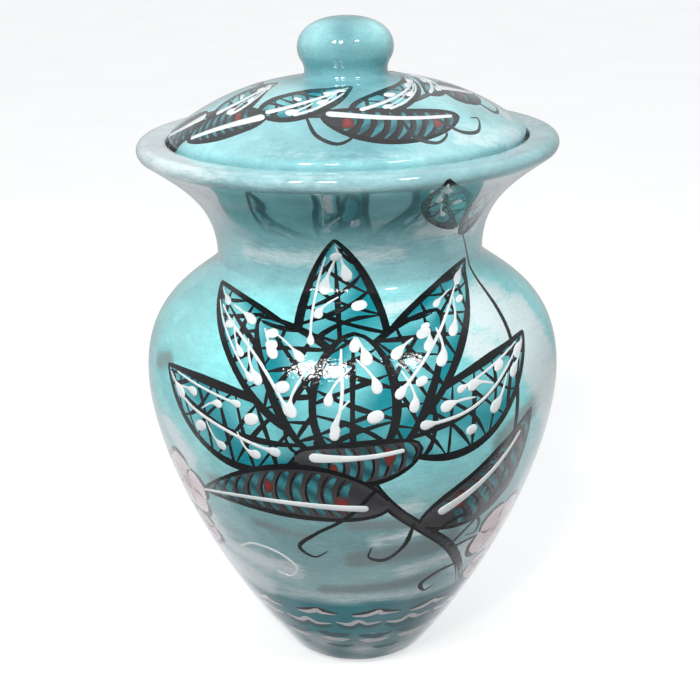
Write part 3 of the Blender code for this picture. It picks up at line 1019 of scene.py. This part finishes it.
class Nodes:
    """The nodes of a material or of the world. What goes into them is a number, a colour or a socket."""

    def __init__(self, tree):
        self.tree = tree
        self.place = self.put("ShaderNodeTexCoord").outputs

    def feed(self, node, inputs):
        for key, value in inputs.items():
            if isinstance(value, bpy.types.NodeSocket):
                self.tree.links.new(value, node.inputs[key])
            else:
                node.inputs[key].default_value = value

    def put(self, kind, inputs=None, **settings):
        """A new node, with its settings and what goes into it."""
        node = self.tree.nodes.new(kind)
        for key, value in settings.items():
            setattr(node, key, value)
        self.feed(node, inputs or {})
        return node

    def held(self, name, output="Color"):
        return self.put("ShaderNodeAttribute", attribute_name=name).outputs[output]

    def noise(self, scale, detail, rough=0.55, stretch=(1.0, 1.0, 1.0)):
        mapping = self.put("ShaderNodeMapping", {"Scale": stretch, "Vector": self.place["Object"]})
        inputs = {"Scale": scale, "Detail": detail, "Roughness": rough, "Vector": mapping.outputs[0]}
        return self.put("ShaderNodeTexNoise", inputs).outputs["Fac"]

    def ramp(self, value, low, high, to_low=0.0, to_high=1.0):
        inputs = {"Value": value, "From Min": low, "From Max": high, "To Min": to_low, "To Max": to_high}
        return self.put("ShaderNodeMapRange", inputs, interpolation_type="SMOOTHSTEP").outputs[0]

    def math(self, operation, first, second=0.0):
        return self.put("ShaderNodeMath", {0: first, 1: second}, operation=operation).outputs[0]

    def add(self, first, second):
        return self.math("ADD", first, second)

    def times(self, first, second):
        return self.math("MULTIPLY", first, second)

    def between(self, share, whole, none):
        """The number whole where the share is 1, and none where it is 0."""
        rest = self.math("SUBTRACT", 1.0, share)
        return self.add(self.times(share, whole), self.times(rest, none))

    def mix(self, share, first, second, way="MIX"):
        node = self.put("ShaderNodeMix", {0: share}, data_type="RGBA", blend_type=way)
        for index, colour in ((6, first), (7, second)):
            self.feed(node, {index: colour if isinstance(colour, bpy.types.NodeSocket) else (*colour, 1.0)})
        return node.outputs[2]

    def shade(self, colour, level):
        """The colour, darker or lighter by the level."""
        grey = self.put("ShaderNodeCombineColor", {0: level, 1: level, 2: level}).outputs[0]
        return self.mix(1.0, colour, grey, "MULTIPLY")

    def bump(self, height, strength, distance):
        inputs = {"Strength": strength, "Distance": distance, "Height": height}
        return self.put("ShaderNodeBump", inputs).outputs[0]


def new_material(name):
    material = bpy.data.materials.new(name)
    material.use_nodes = True
    material.node_tree.nodes.clear()
    nodes = Nodes(material.node_tree)
    shader = nodes.put("ShaderNodeBsdfPrincipled")
    nodes.put("ShaderNodeOutputMaterial", {"Surface": shader.outputs["BSDF"]})
    return material, nodes, shader


def painted_glaze(name, stretch):
    """Brushed underglaze colours under a clear glossy glaze."""
    material, nodes, shader = new_material(name)
    relief = nodes.held("relief", "Fac")
    grey, white, _ = nodes.put("ShaderNodeSeparateColor", {"Color": nodes.held("wash")}).outputs
    bristles = nodes.noise(240.0, 3.0, stretch=stretch)
    strokes = nodes.noise(60.0, 3.0, stretch=stretch)
    brushing = nodes.add(nodes.times(strokes, 0.6), nodes.times(bristles, 0.4))
    cloud = nodes.noise(22.0, 3.0)

    # The ground is patchier and hazier than the painted marks.
    colour = nodes.shade(nodes.held("paint"), nodes.ramp(brushing, 0.35, 0.65, 0.93, 1.06))
    bare = nodes.math("SUBTRACT", 1.0, relief)
    patch = nodes.ramp(nodes.noise(34.0, 5.0, 0.62, (1.0, 1.0, 1.7)), 0.38, 0.62)
    tint = nodes.mix(patch, (0.80, 0.87, 0.88), (1.07, 1.10, 1.10))
    colour = nodes.mix(nodes.times(bare, 0.85), colour, nodes.mix(1.0, colour, tint, "MULTIPLY"))
    haze = nodes.times(nodes.ramp(cloud, 0.45, 0.75, 0.0, 0.22), bare)
    colour = nodes.mix(haze, colour, srgb(190, 214, 216))

    # Grey and white washes, broken up by the bristles.
    unevenness = nodes.times(nodes.math("SUBTRACT", brushing, 0.5), 1.4)
    for amount, tint, most in ((grey, srgb(128, 136, 137), 0.75), (white, srgb(232, 240, 241), 0.84)):
        share = nodes.ramp(nodes.add(amount, unevenness), 0.15, 1.05, 0.0, most)
        colour = nodes.mix(nodes.times(share, nodes.ramp(amount, 0.02, 0.4)), colour, tint)
    colour = nodes.shade(colour, nodes.ramp(nodes.noise(900.0, 2.0), 0.3, 0.7, 0.95, 1.04))

    crumbs = nodes.noise(380.0, 2.0, 0.5)
    paint_height = nodes.times(relief, nodes.add(crumbs, nodes.times(bristles, 0.5)))
    swell = nodes.noise(16.0, 2.0)
    height = nodes.add(nodes.times(swell, 2.2), nodes.times(paint_height, 0.24))
    normal = nodes.bump(height, 1.0, 0.001)
    rough = nodes.ramp(cloud, 0.3, 0.7, 0.07, 0.11)
    nodes.feed(shader, {
        "Base Color": colour,
        "Roughness": nodes.add(rough, nodes.times(relief, 0.05)),
        "IOR": 1.5,
        "Specular IOR Level": 0.2,
        "Coat Weight": 0.8,
        "Coat Roughness": 0.03,
        "Coat IOR": 1.5,
        "Normal": normal,
        "Coat Normal": normal,
    })
    return material


def white_slip():
    material, nodes, shader = new_material("white_slip")
    cloud = nodes.noise(120.0, 3.0)
    nodes.feed(shader, {
        "Base Color": nodes.mix(nodes.ramp(cloud, 0.35, 0.7), SLIP, srgb(222, 230, 230)),
        "Roughness": nodes.ramp(cloud, 0.3, 0.7, 0.16, 0.28),
        "Coat Weight": 0.6,
        "Coat Roughness": 0.05,
        "Normal": nodes.bump(cloud, 0.4, 0.0004),
    })
    return material


def fired_clay():
    material, nodes, shader = new_material("fired_clay")
    grain = nodes.noise(900.0, 5.0, 0.7)
    cloud = nodes.noise(60.0, 3.0)
    colour = nodes.mix(nodes.ramp(cloud, 0.3, 0.7), CLAY, srgb(186, 170, 150))
    nodes.feed(shader, {
        "Base Color": nodes.mix(nodes.ramp(grain, 0.55, 0.8, 0.0, 0.5), colour, srgb(140, 120, 100)),
        "Roughness": nodes.ramp(grain, 0.3, 0.7, 0.65, 0.85),
        "Normal": nodes.bump(grain, 0.5, 0.0003),
    })
    return material


jar_glaze = painted_glaze("jar_glaze_painted", (1.0, 1.0, 5.0))
lid_glaze = painted_glaze("lid_glaze_painted", (1.0, 3.0, 3.0))
slip = white_slip()
clay = fired_clay()


# The jar's mesh.

PLANE_WIDTH = 2 * math.pi * UNROLL_RADIUS
jar_rows = jar_surface.rows(3.2)
jar_rows = np.unique(np.append(jar_rows[np.abs(jar_rows - GLAZE_LINE) > 0.8], GLAZE_LINE))
u, v = np.meshgrid(np.linspace(0.0, PLANE_WIDTH, AROUND + 1), jar_rows)
jar_grid = columns(u.ravel(), v.ravel())
nv, nu = u.shape
jar_borders = []
for row in (int(np.searchsorted(jar_rows, GLAZE_LINE)), 0, nv - 1):
    jar_borders += [(row * nu + i, row * nu + i + 1) for i in range(nu - 1)]
for column in (0, nu - 1):
    jar_borders += [(j * nu + column, (j + 1) * nu + column) for j in range(nv - 1)]


def jar_unwrap(plane):
    share = columns(plane[:, 0] / PLANE_WIDTH, plane[:, 1] / jar_surface.length)
    return share * (0.98, 0.78) + (0.01, 0.21)


def jar_slot(middle):
    return np.where(middle[:, 1] < GLAZE_LINE, 1, 0)


jar_skin = Skin()
jar_skin.add_painting(jar_painting, jar_grid, jar_borders, jar_unwrap, jar_slot)
inside = jar_inside(jar_side)
jar_skin.add_turned(inside, -1, [1, len(inside) - 3], PALE_GLAZE, [1, 0, 0], (0.01, 0.10, 0.99, 0.20))
jar_skin.add_turned(jar_underside(), 1, [2, 3], CLAY, [1, 1, 1], (0.01, 0.01, 0.99, 0.09))
jar = jar_skin.write("painted_jar", [jar_glaze, clay])
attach(jar, "root")
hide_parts("urn_body")


# The lid's mesh.

lid_rows = lid_surface.rows(2.2)[1:]
lid_rows[-1] = lid_surface.length
angles = np.linspace(0.0, 2 * math.pi, AROUND + 1)[:-1]
a, r = np.meshgrid(angles, lid_rows)
lid_grid = columns((r * np.cos(a)).ravel(), (r * np.sin(a)).ravel())
lid_grid = np.concatenate([lid_grid, [[0.0, 0.0]]])
rim = (len(lid_rows) - 1) * AROUND
lid_borders = [(rim + i, rim + (i + 1) % AROUND) for i in range(AROUND)]


def lid_unwrap(plane):
    return plane / lid_surface.length * 0.39 + (0.40, 0.60)


lid_skin = Skin()
lid_skin.add_painting(lid_painting, lid_grid, lid_borders, lid_unwrap, lambda middle: 0)
under = lid_underside(lid_outside())
lid_skin.add_turned(under, -1, [1], PALE_GLAZE, [1, 0], (0.01, 0.01, 0.99, 0.19))
lid = lid_skin.write("painted_lid", [lid_glaze, clay])
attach(lid, "root")
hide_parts("urn_lid")


# Raised slip.

SLIP_HEIGHT = 0.55
SLIP_SINK = 0.25


def rounded(path, half):
    """The path and its half widths, with three more places at each end that round it off."""
    along = directions(path)
    reach, share = np.array([(0.55, 0.84), (0.85, 0.53), (0.98, 0.2)]).T
    before = path[0] - (reach * half[0])[:, None] * along[0]
    after = path[-1] + (reach * half[-1])[:, None] * along[-1]
    spine = np.concatenate([before[::-1], path, after])
    width = np.concatenate([half[0] * share[::-1], half, half[-1] * share])
    return spine, width


def slip_mesh(name, painting):
    """Every raised line of one painting as a low closed dome, sunk a little into the glaze."""
    ring = np.array([1.0, 0.82, 0.5, 0.0, -0.5, -0.82, -1.0])
    rise = np.sqrt(np.clip(1.0 - (ring * 0.93) ** 2, 0.0, 1.0)) - 0.42
    points, faces = [], []
    total = 0
    for region, path, half in painting.trails:
        spine, width = rounded(path, half)
        side = sideways(path)
        across = np.concatenate([np.repeat(side[:1], 3, 0), side, np.repeat(side[-1:], 3, 0)])
        flat = (spine[:, None] + across[:, None] * (width[:, None] * ring)[:, :, None]).reshape(-1, 2)
        tall = SLIP_HEIGHT * np.minimum(1.0, width / 1.1) * (0.55 + 0.45 * np.minimum(1.0, width / 2.0))
        lift = (tall[:, None] * rise).ravel()
        points.append(painting.surface.place(region.angle(flat), flat[:, 1], lift)[0])
        points.append(painting.surface.place(region.angle(spine), spine[:, 1], -SLIP_SINK)[0])
        n, m = len(spine), len(ring)
        for i in range(n - 1):
            first = total + i * m
            last = first + m - 1
            low = total + n * m + i
            faces += [(c, c + 1, c + 1 + m, c + m) for c in range(first, last)]
            faces += [(low, first, first + m, low + 1), (last, low, low + 1, last + m)]
        start, end = total, total + (n - 1) * m
        faces.append((*range(start, start + m), total + n * m)[::-1])
        faces.append((*range(end, end + m), total + n * m + n - 1))
        total += n * m + n
    mesh = bpy.data.meshes.new(name)
    mesh.from_pydata((np.concatenate(points) * 0.001).tolist(), [], faces)
    mesh.materials.append(slip)
    bm = bmesh.new()
    bm.from_mesh(mesh)
    bmesh.ops.recalc_face_normals(bm, faces=bm.faces)
    bm.to_mesh(mesh)
    bm.free()
    mesh.shade_smooth()
    obj = new_object(name, mesh)
    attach(obj, "root")


slip_mesh("jar_slip", jar_painting)
slip_mesh("lid_slip", lid_painting)


# Floor, light and camera. Lengths are in metres from here on.

FLOOR_REACH = 6.0
WALL_RADIUS = 5.9
WALL_HEIGHT = 7.0
WALL_SPANS = 96


def floor_material():
    material, nodes, shader = new_material("pale_floor")
    cloud = nodes.noise(6.0, 3.0)
    nodes.feed(shader, {
        "Base Color": nodes.mix(nodes.ramp(cloud, 0.3, 0.7), (0.52, 0.522, 0.525), (0.49, 0.492, 0.495)),
        "Roughness": nodes.ramp(cloud, 0.3, 0.7, 0.5, 0.6),
        "Emission Color": (1.0, 1.0, 1.0, 1.0),
        "Emission Strength": 0.60,
    })
    return material


def backdrop_material():
    material, nodes, shader = new_material("pale_backdrop")
    nodes.feed(shader, {
        "Base Color": (0.0, 0.0, 0.0, 1.0),
        "Emission Color": (0.90, 0.905, 0.91, 1.0),
        "Emission Strength": 1.0,
    })
    return material


def staged(name, points, faces, material):
    mesh = bpy.data.meshes.new(name)
    mesh.from_pydata(points, [], faces)
    mesh.materials.append(material)
    return new_object(name, mesh)


corners = [(x * FLOOR_REACH, y * FLOOR_REACH, 0.0) for x, y in ((-1, -1), (1, -1), (1, 1), (-1, 1))]
floor = staged("floor", corners, [(0, 1, 2, 3)], floor_material())

# A round wall far behind the floor.
turns = [2 * math.pi * k / WALL_SPANS for k in range(WALL_SPANS)]
ring = [(WALL_RADIUS * math.cos(turn), WALL_RADIUS * math.sin(turn)) for turn in turns]
wall = [(x, y, z) for z in (-0.05, WALL_HEIGHT) for x, y in ring]
after = [(k + 1) % WALL_SPANS for k in range(WALL_SPANS)]
faces = [(k, n, WALL_SPANS + n, WALL_SPANS + k) for k, n in enumerate(after)]
backdrop = staged("backdrop", wall, faces, backdrop_material())
backdrop.visible_shadow = False
for behind in (floor, backdrop):
    behind.visible_diffuse = False
    behind.visible_glossy = False

# How bright the studio's parts are.
UNDER_LOW = 0.40
ROOM_LOW, ROOM_HIGH = 0.10, 0.42
WALLS_LOW, WALLS_MIDDLE, CEILING = 0.98, 0.50, 0.90


def studio_world():
    """Pale walls at the sides and behind, a darker room in front, and a soft light ceiling."""
    world = bpy.data.worlds.new("studio")
    bpy.context.scene.world = world
    world.use_nodes = True
    nodes = Nodes(world.node_tree)
    x, y, z = nodes.put("ShaderNodeSeparateXYZ", {"Vector": nodes.place["Generated"]}).outputs
    level = nodes.math("SQRT", nodes.add(nodes.times(x, x), nodes.times(y, y)))
    facing = nodes.math("DIVIDE", y, nodes.math("MAXIMUM", level, 0.05))
    ahead = nodes.ramp(facing, 0.06, 0.26, 1.0, 0.0)
    room = nodes.ramp(z, -0.70, -0.30, ROOM_LOW, ROOM_HIGH)
    walls = nodes.ramp(z, -0.60, -0.22, WALLS_LOW, WALLS_MIDDLE)
    walls = nodes.add(walls, nodes.ramp(z, 0.35, 0.85, 0.0, CEILING - WALLS_MIDDLE))
    near_foot = nodes.ramp(z, -0.97, -0.62, 1.0, 0.0)
    light = nodes.between(near_foot, UNDER_LOW, nodes.between(ahead, room, walls))
    background = world.node_tree.nodes["Background"]
    nodes.feed(background, {"Strength": light, "Color": (0.95, 0.975, 1.0, 1.0)})


studio_world()

WINDOW_DISTANCE = 1.5
WINDOW_TARGET = Vector((0.0, 0.0, 0.22))


def window(name, azimuth, elevation, width, height, power):
    """A bright window, placed by its angle from the front and its angle above the floor."""
    data = bpy.data.lights.new(name, "AREA")
    data.shape = "RECTANGLE"
    data.size = width
    data.size_y = height
    data.energy = power
    light = new_object(name, data)
    a, e = math.radians(azimuth), math.radians(elevation)
    way = Vector((math.sin(a) * math.cos(e), -math.cos(a) * math.cos(e), math.sin(e)))
    light.location = WINDOW_TARGET + WINDOW_DISTANCE * way
    light.rotation_euler = (WINDOW_TARGET - light.location).to_track_quat("-Z", "Y").to_euler()


window("window_far_left", -31.0, 40.0, 0.18, 0.28, 8.4)
window("window_left", -12.0, 40.0, 0.18, 0.28, 8.2)
window("window_right", 36.0, 42.0, 0.22, 0.11, 5.0)

CAMERA_PLACE = Vector((0.0, -0.540, 0.34425))
CAMERA_DOWN = math.radians(20.0)
CAMERA_ROLL = math.radians(-1.306)
level = Vector((1.0, 0.0, 0.0))
rise = Vector((0.0, math.sin(CAMERA_DOWN), math.cos(CAMERA_DOWN)))
look = Vector((0.0, math.cos(CAMERA_DOWN), -math.sin(CAMERA_DOWN)))
across = math.cos(CAMERA_ROLL) * level + math.sin(CAMERA_ROLL) * rise
upward = -math.sin(CAMERA_ROLL) * level + math.cos(CAMERA_ROLL) * rise
camera_data = bpy.data.cameras.new("camera")
camera_data.lens = 64.95
camera_data.sensor_width = 36.0
camera_data.shift_x = -0.0031
camera_data.shift_y = -0.0070
camera_data.clip_start = 0.01
camera = new_object("camera", camera_data)
camera.matrix_world = Matrix((across, upward, -look)).transposed().to_4x4()
camera.location = CAMERA_PLACE
bpy.context.scene.camera = camera
bpy.context.scene.view_settings.view_transform = "Standard"
